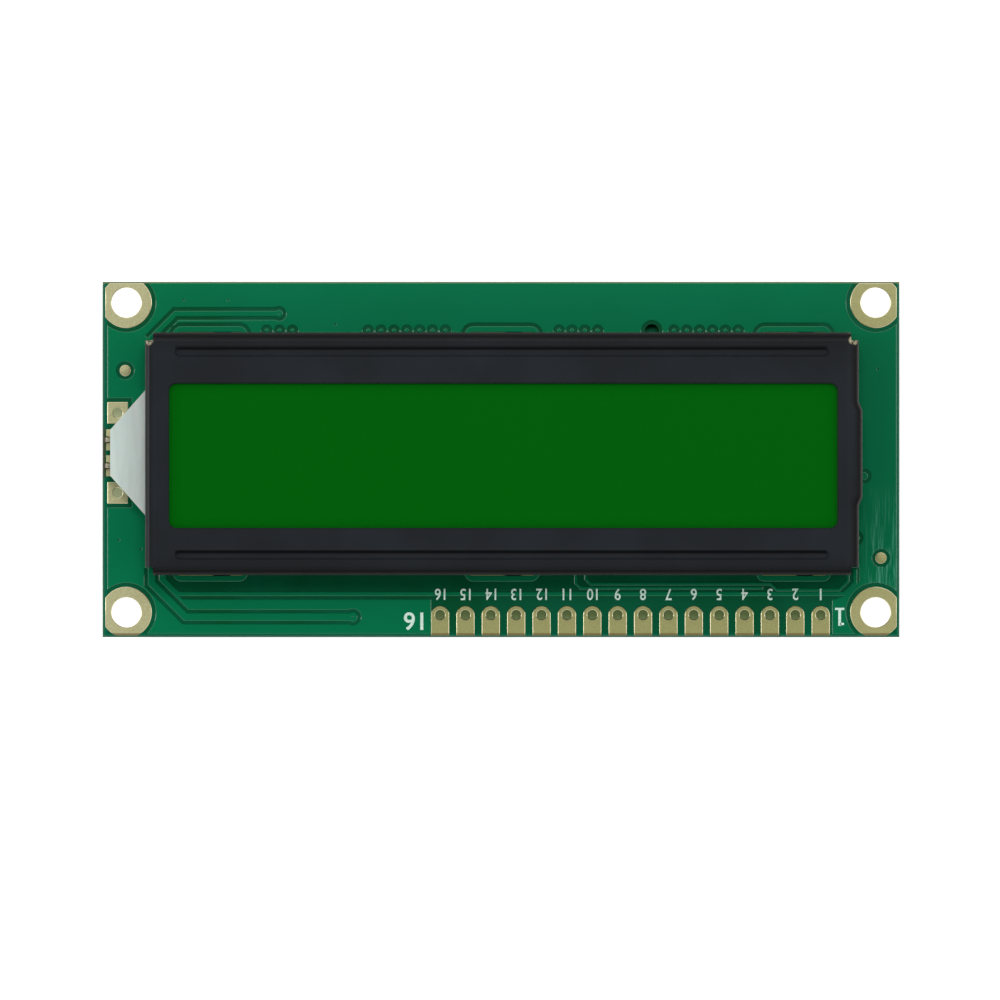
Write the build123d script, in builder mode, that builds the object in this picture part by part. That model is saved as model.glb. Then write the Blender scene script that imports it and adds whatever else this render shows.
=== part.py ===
from build123d import *
from math import cos, radians, sin, tan
import os

# Character display module: a folded steel bezel clamps a glass cell and an edge-lit
# light guide onto a circuit board. The display faces +Z, X runs along the board, and the
# origin is the centre of the mounting hole pattern on the board's back face.
# All sizes are in millimetres.
os.makedirs("parts", exist_ok=True)

# Circuit board
board_length = 79.8
board_width = 35.6
board_thickness = 1.6
score_depth = 0.3
score_half_angle = 30.0
hole_end_distance = 2.4
hole_upper_distance = 2.1
hole_lower_distance = 2.5
mount_hole_radius = 1.5

# Copper and gold
pad_thickness = 0.05
pour_thickness = 0.07
plating_wall = 0.05
copper_gap = 0.45
pour_left_margin = 0.55
pour_right_margin = 0.35
pour_upper_margin = 0.2
pour_lower_margin = 0.4
mount_pad_radius = 2.55
mount_pad_side_margin = 0.3
via_pad_radius = 0.15
via_hole_radius = 0.1
fiducial_radius = 0.56

# Header row, counted from pin 1 at the right
header_count = 16
header_pitch = 2.54
header_side_distance = 7.9
header_edge_distance = 2.25
header_hole_radius = 0.5
header_pad_width = 1.8

# Bezel, with its distances from the board's edges
bezel_left_margin = 4.4
bezel_right_margin = 4.2
bezel_upper_margin = 5.15
bezel_lower_margin = 6.25
sheet = 0.45
bend_radius = 0.9
corner_relief = 0.8
window_left_rim = 2.395
window_right_rim = 2.155
window_upper_rim = 5.1
window_lower_rim = 4.7
window_corner = 0.75
window_edge = 0.1
groove_end_inset = 2.95
groove_side_inset = 1.98
groove_width = 0.95
groove_wall_angle = 45.0
groove_floor_fillet = 0.12
bulge_depth = 0.35
bulge_flat = 8.7
bulge_ramp = 0.8
bulge_fillet = 0.9

# Tabs that hold the bezel to the board, and their slots
tab_end_inset = 6.4
tab_width = 6.2
tab_shoulder_drop = 0.7
tab_neck_width = 1.0
tab_foot_width = 5.6
tab_foot_drop = 1.7
tab_foot_chamfer = 0.5
tab_twist = 15.0
twist_steps = 4
slot_end_clearance = 0.3
slot_side_clearance = 0.15
slot_end_collar = 0.32
slot_side_collar = 0.47

# Glass cell and back light, from the board upwards
reflector_thickness = 0.1
guide_thickness = 3.6
diffuser_thickness = 0.2
polariser_thickness = 0.2
glass_thickness = 1.1
seal_thickness = 0.05
polariser_clearance = 0.05
cell_side_clearance = 0.25
polariser_end_inset = 1.0
polariser_side_inset = 0.55
strip_width = 2.2
strip_clearance = 0.25
strip_end_inset = 2.4
seal_width = 1.2
seal_inset = 0.2
fill_port_width = 2.0
plug_length = 4.6
plug_height = 1.9
plug_depth = 0.4
plug_corner = 0.6
contact_pitch = 1.287
contact_width = 0.8
contact_length = 2.0
contact_end_margin = 1.5

# Side-emitting lamp in the light guide's tail, its pads, and the spare pads beside them
back_light_shift = 0.11
lamp_length = 2.8
lamp_width = 4.4
lamp_height = 1.9
tail_edge_distance = 0.85
tail_lip = 0.1
tail_roof = 0.85
tail_root_inset = 2.65
tail_notch_clearance = 0.3
lamp_pad_edge_distance = 0.38
lamp_pad_length = 3.6
lamp_pad_width = 2.1
lamp_pitch = 2.6
lead_width = 0.45
lead_thickness = 0.25
lead_reach = 0.36
lead_bend = 0.2
solder_radius = 0.32
solder_top_radius = 0.2
solder_height = 0.5
solder_clearance = 0.03
spare_pad_length = 2.05
spare_pad_width = 2.15
spare_pad_pitch = 8.0
spare_pad_edge_distance = 1.53
spare_hole_radius = 0.5

# The two chips on the back, each a bare die under a drop of epoxy
drop_shift = 0.15
controller_radius = 7.6
controller_die_length = 3.4
controller_die_width = 2.8
driver_radius = 7.0
driver_die_length = 3.0
driver_die_width = 2.4
die_thickness = 0.35
drop_height = 1.4
drop_rim_height = 0.18
drop_shoulder = 0.8

# Small parts on the back: a column on each side of the chips, and a ladder of resistors
# between them, with rows measured from the chips' line
chip_length = 2.0
chip_width = 1.25
resistor_height = 0.5
capacitor_height = 0.8
cap_length = 0.4
cap_wrap = 0.03
land_length = 1.1
land_width = 1.4
land_spread = 2.2
fillet_height = 0.3
left_column_gap = 0.6
right_column_gap = 4.1
left_resistor_rows = [-6.7, -4.5]
left_capacitor_row = 3.4
jumper_rows = [-2.3, -0.1]
jumper_spread = 1.6
right_resistor_row = 4.5
right_capacitor_rows = [-4.8, -0.3]
ladder_count = 5
ladder_pitch = 2.0
ladder_gap = 0.9
ladder_row = 4.2

# Copper on the back
back_trace_width = 0.35
chip_pitch = 0.9
driver_chip_pitch = 0.8
driver_fan_pitch = 1.1
bus_count = 8
bus_shift = -2.0
signal_count = 12
controller_upper_count = 14
driver_upper_count = 16
driver_lower_count = 12
signal_chip_pitch = 1.1
component_field_reach = 5.0
component_upper_margin = 7.5
component_lower_margin = 5.1
foot_clearance = 0.5
header_field_margin = 1.6

# Places of the board's edges and of the bezel's
hole_pitch_x = board_length - 2 * hole_end_distance
hole_pitch_y = board_width - hole_upper_distance - hole_lower_distance
board_right = board_length / 2
board_upper = hole_pitch_y / 2 + hole_upper_distance
board_lower = board_upper - board_width
board_y = (board_upper + board_lower) / 2
bezel_left = bezel_left_margin - board_right
bezel_right = board_right - bezel_right_margin
bezel_upper = board_upper - bezel_upper_margin
bezel_lower = board_lower + bezel_lower_margin
bezel_x = (bezel_left + bezel_right) / 2
bezel_y = (bezel_upper + bezel_lower) / 2
bezel_length = bezel_right - bezel_left
bezel_width = bezel_upper - bezel_lower
wall_x = bezel_length / 2 - sheet / 2
wall_y = bezel_width / 2 - sheet / 2

# Sizes that follow inside the bezel
cell_length = bezel_length - 2 * (sheet + cell_side_clearance)
cell_width = bezel_width - 2 * (sheet + cell_side_clearance)
strip_length = cell_length - 2 * strip_end_inset
strip_y = cell_width / 2 - strip_width / 2
guide_width = 2 * (strip_y - strip_width / 2 - strip_clearance)
polariser_length = cell_length - 2 * polariser_end_inset
polariser_width = guide_width - 2 * polariser_side_inset
contact_count = int((strip_length - 2 * contact_end_margin - contact_width) / contact_pitch) + 1
window_length = bezel_length - window_left_rim - window_right_rim
window_width = bezel_width - window_upper_rim - window_lower_rim
window_x = bezel_x + (window_left_rim - window_right_rim) / 2
window_y = bezel_y + (window_lower_rim - window_upper_rim) / 2
groove_length = bezel_length - 2 * groove_end_inset
groove_spacing = bezel_width - 2 * groove_side_inset
tab_pitch = bezel_length / 2 - tab_end_inset
tab_spots = [(bezel_x + step * tab_pitch, side) for step in (-1, 0, 1) for side in (-1, 1)]
slot_length = tab_width + 2 * slot_end_clearance
slot_width = sheet + 2 * slot_side_clearance

# Levels of the stack
front = board_thickness
masked_front = front + pour_thickness
guide_bottom = front + reflector_thickness
guide_top = guide_bottom + guide_thickness
diffuser_top = guide_top + diffuser_thickness
rear_polariser_top = diffuser_top + polariser_thickness
rear_glass_top = rear_polariser_top + glass_thickness
seal_top = rear_glass_top + seal_thickness
front_glass_top = seal_top + glass_thickness
polariser_top = front_glass_top + polariser_thickness
bezel_underside = polariser_top + polariser_clearance
bezel_top = bezel_underside + sheet
groove_depth = bezel_underside - front_glass_top

# Places on the board
score_width = score_depth * tan(radians(score_half_angle))
face_length = board_length - 2 * score_width
face_width = board_width - 2 * score_width
header_x = board_right - header_side_distance - (header_count - 1) * header_pitch / 2
header_y = board_lower + header_edge_distance
header_left = header_x - (header_count - 1) * header_pitch / 2
header_right = header_x + (header_count - 1) * header_pitch / 2
header_pad_radius = header_pad_width / 2
header_pad_top = header_y + header_pad_radius
header_pad_tail = header_edge_distance - score_width
back_light_y = bezel_y + back_light_shift
tail_end = tail_edge_distance - board_right
tail_nose_width = lamp_width + 2 * tail_lip
tail_root_width = guide_width - 2 * tail_root_inset
tail_height = pad_thickness + lamp_height + tail_roof
lamp_pad_x = lamp_pad_edge_distance + lamp_pad_length / 2 - board_right
lamp_pad_span = lamp_pitch + lamp_pad_width
spare_pad_x = spare_pad_edge_distance - board_right
lead_x = tail_end - lead_reach
lamp_bottom = guide_bottom + pad_thickness
lead_level = lamp_bottom + lamp_height / 2
drop_y = bezel_y + drop_shift
controller_x = header_x
ladder_length = (ladder_count - 1) * ladder_pitch + land_width
ladder_x = controller_x - controller_radius - ladder_gap - ladder_length / 2
driver_x = ladder_x - ladder_length / 2 - ladder_gap - driver_radius
left_column = driver_x - driver_radius - left_column_gap - (land_spread + land_length) / 2
right_column = controller_x + controller_radius + right_column_gap + land_width / 2


def slot_row():
    """Centres of the six tab slots."""
    return [(x, bezel_y + side * wall_y) for x, side in tab_spots]


def points_from(x, y, steps):
    """Points at the given distances from an edge or a corner."""
    return [(x + across, y + up) for across, up in steps]


# Artwork of the copper on the front
pour_length = board_length - pour_left_margin - pour_right_margin
pour_width = board_width - pour_upper_margin - pour_lower_margin
pour_x = (pour_left_margin - pour_right_margin) / 2
pour_y = board_y + (pour_lower_margin - pour_upper_margin) / 2
collar_length = slot_length + 2 * slot_end_collar
collar_width = slot_width + 2 * slot_side_collar
spare_field_length = 2 * spare_pad_edge_distance + spare_pad_length + 2 * copper_gap
spare_field_width = spare_pad_pitch + spare_pad_width + 2 * copper_gap
via_row_distances = [12.05, 22.21, 41.32, 52.81]
via_row_counts = [3, 7, 4, 6]
via_row_rise = 0.25
via_row_clearance = 0.62
peg_hole_radius = 0.7
peg_clearance = 1.12
peg_spot = (header_x + 2.15, bezel_upper + 0.2)
lone_via_clearance = 0.8
lone_vias = points_from(bezel_right, bezel_y, [(0.6, -2.21), (-0.2, -8.42)])
pinhole_radius = 0.14
pinholes = [
    *points_from(-board_right, board_upper, [(8.15, -1.85), (12.55, -1.85), (23.3, -4.3)]),
    *points_from(-board_right, board_lower, [(1.65, 9.75), (3.85, 8.85)]),
    *points_from(board_right, board_upper, [(-2.2, -8.75)]),
]
left_fiducial = (2.28 - board_right, board_upper - 8.9)
right_fiducial = (board_right - 1.86, board_lower + 7.93)
fiducial_clearance = 0.95

# Routes of the front traces, each from the bezel outwards
upper_route = points_from(bezel_left, bezel_upper, [(0.3, -0.7), (2.94, 1.94), (13.28, 1.94)])
lower_route = points_from(bezel_left, bezel_lower,
                          [(0.53, 0.75), (0.53, -0.85), (3.91, -4.23), (20.66, -4.23)])
long_route = [
    *points_from(bezel_left, bezel_lower, [(1.79, 0.55), (1.79, -0.52), (3.19, -1.92)]),
    *points_from(bezel_right, bezel_lower, [(-1.35, -1.92), (-0.25, -0.82), (-0.25, 0.55)]),
]
inner_route = [
    *points_from(header_x, bezel_lower, [(-4.47, 0.55), (-4.47, -0.42), (-3.97, -0.92)]),
    *points_from(bezel_right, bezel_lower, [(-8.7, -0.92), (-8.1, -1.52), (-1.85, -1.52)]),
    *points_from(bezel_right, bezel_lower, [(-0.95, -0.62), (-0.95, 0.55)]),
]
short_route = [
    *points_from(header_x, bezel_lower, [(-5.47, 0.55), (-5.47, -0.82), (-4.97, -1.32)]),
    (bezel_right - 9.5, bezel_lower - 1.32),
]
upper_trace_width = 0.45
lower_trace_width = 0.65
route_end_swell = 0.1
long_trace_width = 0.3
fine_trace_width = 0.2
wide_routes = ((upper_route, upper_trace_width), (lower_route, lower_trace_width))
fine_routes = ((long_route, long_trace_width), (inner_route, fine_trace_width),
               (short_route, fine_trace_width))

# Bare field around the header row, free of copper pour
header_field = [
    *points_from(bezel_left, bezel_lower, [(1.6, 0.75), (1.6, -0.15), (3.6, -2.52)]),
    *points_from(header_left, header_y, [(-0.94, 1.48), (-0.94, -header_edge_distance)]),
    *points_from(header_right, header_y, [(1.2, -header_edge_distance), (1.2, 1.45)]),
    *points_from(bezel_right, bezel_lower, [(-1.4, -2.2), (0.2, -0.65), (0.2, 0.75)]),
]

# The pour reaches under the bezel's wall and stops short of what stands inside it
display_field_length = bezel_length - 2 * sheet - cell_side_clearance
display_field_width = bezel_width - 2 * sheet - cell_side_clearance


def via_spots():
    """Places of the vias in the rows above the bezel, which follow the fingers' pitch."""
    rows = zip(via_row_distances, via_row_counts)
    return [(bezel_left + distance + step * contact_pitch, bezel_upper + via_row_rise)
            for distance, count in rows for step in range(count)]


# Board with its holes and scored edges
with BuildPart() as circuit_board:
    with BuildSketch(Plane((0, board_y, score_depth))):
        Rectangle(board_length, board_width)
    extrude(amount=board_thickness - 2 * score_depth)
    with BuildSketch(Plane((0, board_y, board_thickness - score_depth))):
        Rectangle(board_length, board_width)
    extrude(amount=score_depth, taper=score_half_angle)
    with BuildSketch(Plane((0, board_y, score_depth), z_dir=(0, 0, -1))):
        Rectangle(board_length, board_width)
    extrude(amount=score_depth, taper=score_half_angle)
    with BuildSketch(Plane.XY):
        with GridLocations(hole_pitch_x, hole_pitch_y, 2, 2):
            Circle(mount_hole_radius + plating_wall)
        with Locations((header_x, header_y)):
            with GridLocations(header_pitch, header_pitch, header_count, 1):
                Circle(header_hole_radius + plating_wall)
        with Locations((spare_pad_x, back_light_y)):
            with GridLocations(spare_pad_pitch, spare_pad_pitch, 1, 2):
                Circle(spare_hole_radius + plating_wall)
        with Locations(*slot_row()):
            SlotOverall(slot_length, slot_width)
        with Locations(peg_spot):
            Circle(peg_hole_radius)
    extrude(amount=board_thickness, mode=Mode.SUBTRACT)
circuit_board.part.label = "circuit_board"
export_step(circuit_board.part, "parts/circuit_board.step")


# Copper on the front: the pour and its traces, all under the mask
with BuildPart() as front_copper:
    with BuildSketch(Plane.XY.offset(front)):
        with Locations((pour_x, pour_y)):
            Rectangle(pour_length, pour_width)
        with BuildLine():
            Polyline(*header_field, close=True)
        make_face(mode=Mode.SUBTRACT)
        with GridLocations(hole_pitch_x, hole_pitch_y, 2, 2):
            Circle(mount_pad_radius + copper_gap, mode=Mode.SUBTRACT)
        with Locations((lamp_pad_x, back_light_y)):
            Rectangle(lamp_pad_length + 2 * copper_gap, lamp_pad_span + 2 * copper_gap, mode=Mode.SUBTRACT)
        with Locations((-board_right, back_light_y)):
            Rectangle(spare_field_length, spare_field_width, mode=Mode.SUBTRACT)
        with Locations(*slot_row()):
            SlotOverall(collar_length + 2 * copper_gap, collar_width + 2 * copper_gap, mode=Mode.SUBTRACT)
        with Locations(left_fiducial, right_fiducial):
            Circle(fiducial_clearance, mode=Mode.SUBTRACT)
        with Locations(*lone_vias):
            Circle(lone_via_clearance, mode=Mode.SUBTRACT)
        with Locations(peg_spot):
            Circle(peg_clearance, mode=Mode.SUBTRACT)
        with Locations(*via_spots()):
            Circle(via_row_clearance, mode=Mode.SUBTRACT)
        for route, width in wide_routes:
            with BuildLine():
                Polyline(*route)
            trace(line_width=width + 2 * copper_gap, mode=Mode.SUBTRACT)
            with Locations(route[-1]):
                Circle(width / 2 + route_end_swell + copper_gap, mode=Mode.SUBTRACT)
        with Locations(*pinholes):
            Circle(pinhole_radius, mode=Mode.SUBTRACT)
        for route, width in wide_routes + fine_routes:
            with BuildLine():
                Polyline(*route)
            trace(line_width=width)
        for route, width in wide_routes:
            with Locations(route[-1]):
                Circle(width / 2 + route_end_swell)
        with Locations(*via_spots()):
            Circle(via_pad_radius)
        with Locations(*lone_vias):
            Circle(lone_via_clearance - copper_gap)
        with Locations(*slot_row()):
            SlotOverall(collar_length, collar_width)
            SlotOverall(slot_length, slot_width, mode=Mode.SUBTRACT)
        with Locations(upper_route[-1], lower_route[-1], *lone_vias):
            Circle(via_hole_radius, mode=Mode.SUBTRACT)
        with Locations((bezel_x, bezel_y)):
            Rectangle(display_field_length, display_field_width, mode=Mode.SUBTRACT)
    extrude(amount=pour_thickness)
front_copper.part.label = "front_copper"
export_step(front_copper.part, "parts/front_copper.step")


# Plated mounting holes, one rivet-like lining of gold each
with BuildPart() as mounting_pads:
    for level in (front, -pad_thickness):
        with BuildSketch(Plane.XY.offset(level)):
            with GridLocations(hole_pitch_x, hole_pitch_y, 2, 2):
                Circle(mount_pad_radius)
            with Locations((0, board_y)):
                Rectangle(board_length - 2 * mount_pad_side_margin, face_width, mode=Mode.INTERSECT)
        extrude(amount=pad_thickness)
    with BuildSketch(Plane.XY):
        with GridLocations(hole_pitch_x, hole_pitch_y, 2, 2):
            Circle(mount_hole_radius + plating_wall)
    extrude(amount=board_thickness)
    with BuildSketch(Plane.XY.offset(-pad_thickness)):
        with GridLocations(hole_pitch_x, hole_pitch_y, 2, 2):
            Circle(mount_hole_radius)
    extrude(amount=board_thickness + 2 * pad_thickness, mode=Mode.SUBTRACT)
mounting_pads.part.label = "mounting_pads"
export_step(mounting_pads.part, "parts/mounting_pads.step")


# Header pads: round at the hole and straight down to the scored edge, on both faces
with BuildPart() as header_pads:
    for level in (front, -pad_thickness):
        with BuildSketch(Plane.XY.offset(level)):
            with Locations((header_x, header_y)):
                with GridLocations(header_pitch, header_pitch, header_count, 1):
                    Circle(header_pad_radius)
            with Locations((header_x, header_y - header_pad_tail / 2)):
                with GridLocations(header_pitch, header_pitch, header_count, 1):
                    Rectangle(header_pad_width, header_pad_tail)
        extrude(amount=pad_thickness)
    with BuildSketch(Plane.XY):
        with Locations((header_x, header_y)):
            with GridLocations(header_pitch, header_pitch, header_count, 1):
                Circle(header_hole_radius + plating_wall)
    extrude(amount=board_thickness)
    with BuildSketch(Plane.XY.offset(-pad_thickness)):
        with Locations((header_x, header_y)):
            with GridLocations(header_pitch, header_pitch, header_count, 1):
                Circle(header_hole_radius)
    extrude(amount=board_thickness + 2 * pad_thickness, mode=Mode.SUBTRACT)
header_pads.part.label = "header_pads"
export_step(header_pads.part, "parts/header_pads.step")


# Spare pads for a back light with leads further apart, left empty
with BuildPart() as spare_back_light_pads:
    for level in (front, -pad_thickness):
        with BuildSketch(Plane.XY.offset(level)):
            with Locations((spare_pad_x, back_light_y)):
                with GridLocations(spare_pad_pitch, spare_pad_pitch, 1, 2):
                    Rectangle(spare_pad_length, spare_pad_width)
        extrude(amount=pad_thickness)
    with BuildSketch(Plane.XY):
        with Locations((spare_pad_x, back_light_y)):
            with GridLocations(spare_pad_pitch, spare_pad_pitch, 1, 2):
                Circle(spare_hole_radius + plating_wall)
    extrude(amount=board_thickness)
    with BuildSketch(Plane.XY.offset(-pad_thickness)):
        with Locations((spare_pad_x, back_light_y)):
            with GridLocations(spare_pad_pitch, spare_pad_pitch, 1, 2):
                Circle(spare_hole_radius)
    extrude(amount=board_thickness + 2 * pad_thickness, mode=Mode.SUBTRACT)
spare_back_light_pads.part.label = "spare_back_light_pads"
export_step(spare_back_light_pads.part, "parts/spare_back_light_pads.step")


# Pads that the lamp's leads are soldered to
with BuildPart() as lamp_pads:
    with BuildSketch(Plane.XY.offset(front)):
        with Locations((lamp_pad_x, back_light_y)):
            with GridLocations(lamp_pitch, lamp_pitch, 1, 2):
                Rectangle(lamp_pad_length, lamp_pad_width)
    extrude(amount=pad_thickness)
lamp_pads.part.label = "lamp_pads"
export_step(lamp_pads.part, "parts/lamp_pads.step")


# Round marks that the assembly line sights on
with BuildPart() as alignment_marks:
    with BuildSketch(Plane.XY.offset(front)):
        with Locations(left_fiducial, right_fiducial):
            Circle(fiducial_radius)
    extrude(amount=pad_thickness)
alignment_marks.part.label = "alignment_marks"
export_step(alignment_marks.part, "parts/alignment_marks.step")


# Rows of gold fingers under the two elastomer strips
with BuildPart() as upper_contacts:
    with BuildSketch(Plane.XY.offset(front)):
        with Locations((bezel_x, bezel_y + strip_y)):
            with GridLocations(contact_pitch, contact_pitch, contact_count, 1):
                Rectangle(contact_width, contact_length)
    extrude(amount=pad_thickness)
upper_contacts.part.label = "upper_contacts"
export_step(upper_contacts.part, "parts/upper_contacts.step")

with BuildPart() as lower_contacts:
    with BuildSketch(Plane.XY.offset(front)):
        with Locations((bezel_x, bezel_y - strip_y)):
            with GridLocations(contact_pitch, contact_pitch, contact_count, 1):
                Rectangle(contact_width, contact_length)
    extrude(amount=pad_thickness)
lower_contacts.part.label = "lower_contacts"
export_step(lower_contacts.part, "parts/lower_contacts.step")


# Elastomer strips that join the fingers to the glass
with BuildPart() as upper_connector_strip:
    with BuildSketch(Plane((bezel_x, bezel_y + strip_y, front + pad_thickness))):
        Rectangle(strip_length, strip_width)
    extrude(amount=seal_top - front - pad_thickness)
upper_connector_strip.part.label = "upper_connector_strip"
export_step(upper_connector_strip.part, "parts/upper_connector_strip.step")

with BuildPart() as lower_connector_strip:
    with BuildSketch(Plane((bezel_x, bezel_y - strip_y, front + pad_thickness))):
        Rectangle(strip_length, strip_width)
    extrude(amount=seal_top - front - pad_thickness)
lower_connector_strip.part.label = "lower_connector_strip"
export_step(lower_connector_strip.part, "parts/lower_connector_strip.step")


# Back light: reflector, light guide with its tail, and diffuser
with BuildPart() as reflector_film:
    with BuildSketch(Plane((bezel_x, bezel_y, front))):
        Rectangle(cell_length, guide_width)
    extrude(amount=reflector_thickness)
reflector_film.part.label = "reflector_film"
export_step(reflector_film.part, "parts/reflector_film.step")

tail_start = bezel_x - cell_length / 2 + corner_relief
tail_outline = [
    (tail_start, back_light_y - tail_root_width / 2),
    (bezel_left, back_light_y - tail_root_width / 2),
    (tail_end, back_light_y - tail_nose_width / 2),
    (tail_end, back_light_y + tail_nose_width / 2),
    (bezel_left, back_light_y + tail_root_width / 2),
    (tail_start, back_light_y + tail_root_width / 2),
]

with BuildPart() as light_guide:
    with BuildSketch(Plane((bezel_x, bezel_y, guide_bottom))):
        Rectangle(cell_length, guide_width)
    extrude(amount=guide_thickness)
    with BuildSketch(Plane.XY.offset(guide_bottom)):
        with BuildLine():
            Polyline(*tail_outline, close=True)
        make_face()
    extrude(amount=tail_height)
    with BuildSketch(Plane((tail_end + lamp_length / 2, back_light_y, guide_bottom))):
        Rectangle(lamp_length, lamp_width)
    extrude(amount=lamp_bottom + lamp_height - guide_bottom, mode=Mode.SUBTRACT)
light_guide.part.label = "light_guide"
export_step(light_guide.part, "parts/light_guide.step")

with BuildPart() as diffuser_film:
    with BuildSketch(Plane((bezel_x, bezel_y, guide_top))):
        Rectangle(cell_length, guide_width)
    extrude(amount=diffuser_thickness)
diffuser_film.part.label = "diffuser_film"
export_step(diffuser_film.part, "parts/diffuser_film.step")


# Glass cell: two polarisers, two glasses and the seal between them
with BuildPart() as rear_polariser:
    with BuildSketch(Plane((bezel_x, bezel_y, diffuser_top))):
        Rectangle(polariser_length, polariser_width)
    extrude(amount=polariser_thickness)
rear_polariser.part.label = "rear_polariser"
export_step(rear_polariser.part, "parts/rear_polariser.step")

with BuildPart() as rear_glass:
    with BuildSketch(Plane((bezel_x, bezel_y, rear_polariser_top))):
        Rectangle(cell_length, guide_width)
    extrude(amount=glass_thickness)
rear_glass.part.label = "rear_glass"
export_step(rear_glass.part, "parts/rear_glass.step")

seal_length = cell_length - 2 * seal_inset
seal_span = guide_width - 2 * seal_inset
with BuildPart() as cell_seal:
    with BuildSketch(Plane((bezel_x, bezel_y, rear_glass_top))):
        Rectangle(seal_length, seal_span)
        Rectangle(seal_length - 2 * seal_width, seal_span - 2 * seal_width, mode=Mode.SUBTRACT)
        with Locations((seal_length / 2, 0)):
            Rectangle(2 * seal_width + seal_inset, fill_port_width, mode=Mode.SUBTRACT)
    extrude(amount=seal_thickness)
cell_seal.part.label = "cell_seal"
export_step(cell_seal.part, "parts/cell_seal.step")

with BuildPart() as front_glass:
    with BuildSketch(Plane((bezel_x, bezel_y, seal_top))):
        Rectangle(cell_length, cell_width)
    extrude(amount=glass_thickness)
front_glass.part.label = "front_glass"
export_step(front_glass.part, "parts/front_glass.step")

with BuildPart() as front_polariser:
    with BuildSketch(Plane((bezel_x, bezel_y, front_glass_top))):
        Rectangle(polariser_length, polariser_width)
    extrude(amount=polariser_thickness)
front_polariser.part.label = "front_polariser"
export_step(front_polariser.part, "parts/front_polariser.step")

# Drop of glue that closes the filling port, on the cell's right edge
with BuildPart() as fill_port_plug:
    with BuildSketch(Plane((bezel_x + cell_length / 2, bezel_y, seal_top - seal_thickness / 2),
                           x_dir=(0, 1, 0), z_dir=(1, 0, 0))):
        RectangleRounded(plug_length, plug_height, plug_corner)
    extrude(amount=plug_depth)
    fillet(fill_port_plug.faces().sort_by(Axis.X)[-1].edges(), radius=plug_depth / 2)
fill_port_plug.part.label = "fill_port_plug"
export_step(fill_port_plug.part, "parts/fill_port_plug.step")


# Bezel, folded from one sheet
half_length = bezel_length / 2
bulge_outline = [
    (half_length - sheet, bulge_flat / 2 + bulge_ramp),
    (half_length, bulge_flat / 2 + bulge_ramp),
    (half_length + bulge_depth, bulge_flat / 2),
    (half_length + bulge_depth, -bulge_flat / 2),
    (half_length, -bulge_flat / 2 - bulge_ramp),
    (half_length - sheet, -bulge_flat / 2 - bulge_ramp),
]

with BuildPart() as bezel:
    # Outer shape with the bulge, bent at the face, then hollowed to the sheet's thickness
    with BuildSketch(Plane((bezel_x, bezel_y, masked_front))) as bezel_outline:
        Rectangle(bezel_length, bezel_width)
        with BuildLine():
            Polyline(*bulge_outline, close=True)
        make_face()
        bulge_corners = [corner for corner in bezel_outline.vertices()
                         if abs(corner.Y - bezel_y) < bezel_width / 4 and corner.X > bezel_x]
        fillet(bulge_corners, radius=bulge_fillet)
    extrude(amount=bezel_top - masked_front)
    fillet(bezel.faces().sort_by(Axis.Z)[-1].edges(), radius=bend_radius)
    offset(amount=-sheet, openings=bezel.faces().sort_by(Axis.Z)[0])

    # Square reliefs, so that each side folds on its own
    with BuildSketch(Plane((bezel_x, bezel_y, masked_front))):
        with GridLocations(bezel_length - corner_relief, bezel_width - corner_relief, 2, 2):
            Rectangle(corner_relief, corner_relief)
    extrude(amount=bezel_top - masked_front, mode=Mode.SUBTRACT)

    # Window
    with BuildSketch(Plane((window_x, window_y, bezel_underside))):
        RectangleRounded(window_length, window_width, window_corner)
    extrude(amount=sheet, mode=Mode.SUBTRACT)
    window_rim = bezel.faces().sort_by(Axis.Z)[-1].inner_wires()[0].edges()
    chamfer(window_rim, length=window_edge)

    # Two grooves pressed into the face; their floors bear on the glass
    with BuildSketch(Plane((bezel_x, bezel_y, bezel_underside), z_dir=(0, 0, -1))):
        with GridLocations(groove_spacing, groove_spacing, 1, 2):
            SlotOverall(groove_length, groove_width)
    extrude(amount=groove_depth, taper=groove_wall_angle)
    with BuildSketch(Plane((bezel_x, bezel_y, bezel_top), z_dir=(0, 0, -1))):
        with GridLocations(groove_spacing, groove_spacing, 1, 2):
            SlotOverall(groove_length, groove_width)
    extrude(amount=groove_depth, taper=groove_wall_angle, mode=Mode.SUBTRACT)
    groove_floor = bezel_top - groove_depth
    fillet(bezel.edges().filter_by_position(Axis.Z, groove_floor, groove_floor), radius=groove_floor_fillet)

    # Opening in the left wall for the light guide's tail
    with BuildSketch(Plane((bezel_x - wall_x, back_light_y, masked_front))):
        Rectangle(2 * bend_radius, tail_root_width + 2 * tail_notch_clearance)
    extrude(amount=guide_bottom + tail_height + tail_notch_clearance - masked_front, mode=Mode.SUBTRACT)

    # Six tabs: a shoulder in the slot, a neck that twists, and a foot that locks behind the board
    for x, side in tab_spots:
        y = bezel_y + side * wall_y
        with BuildSketch(Plane((x, y, masked_front), z_dir=(0, 0, -1))):
            Rectangle(tab_width, sheet)
        extrude(amount=pour_thickness + tab_shoulder_drop)
        for step in range(twist_steps + 1):
            share = step / twist_steps
            turn = radians(side * tab_twist * share)
            level = (front - tab_shoulder_drop) * (1 - share)
            with BuildSketch(Plane((x, y, level), x_dir=(cos(turn), sin(turn), 0), z_dir=(0, 0, 1))):
                Rectangle(tab_neck_width, sheet)
        loft()
        turn = radians(side * tab_twist)
        with BuildSketch(Plane((x, y, -tab_foot_drop / 2), x_dir=(cos(turn), sin(turn), 0),
                               z_dir=(-sin(turn), cos(turn), 0))) as foot:
            Rectangle(tab_foot_width, tab_foot_drop)
            lower_corners = foot.vertices().group_by(Axis.Y)[-1]
            chamfer(lower_corners, length=tab_foot_chamfer)
        extrude(amount=sheet / 2, both=True)
bezel.part.label = "bezel"
export_step(bezel.part, "parts/bezel.step")


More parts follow.
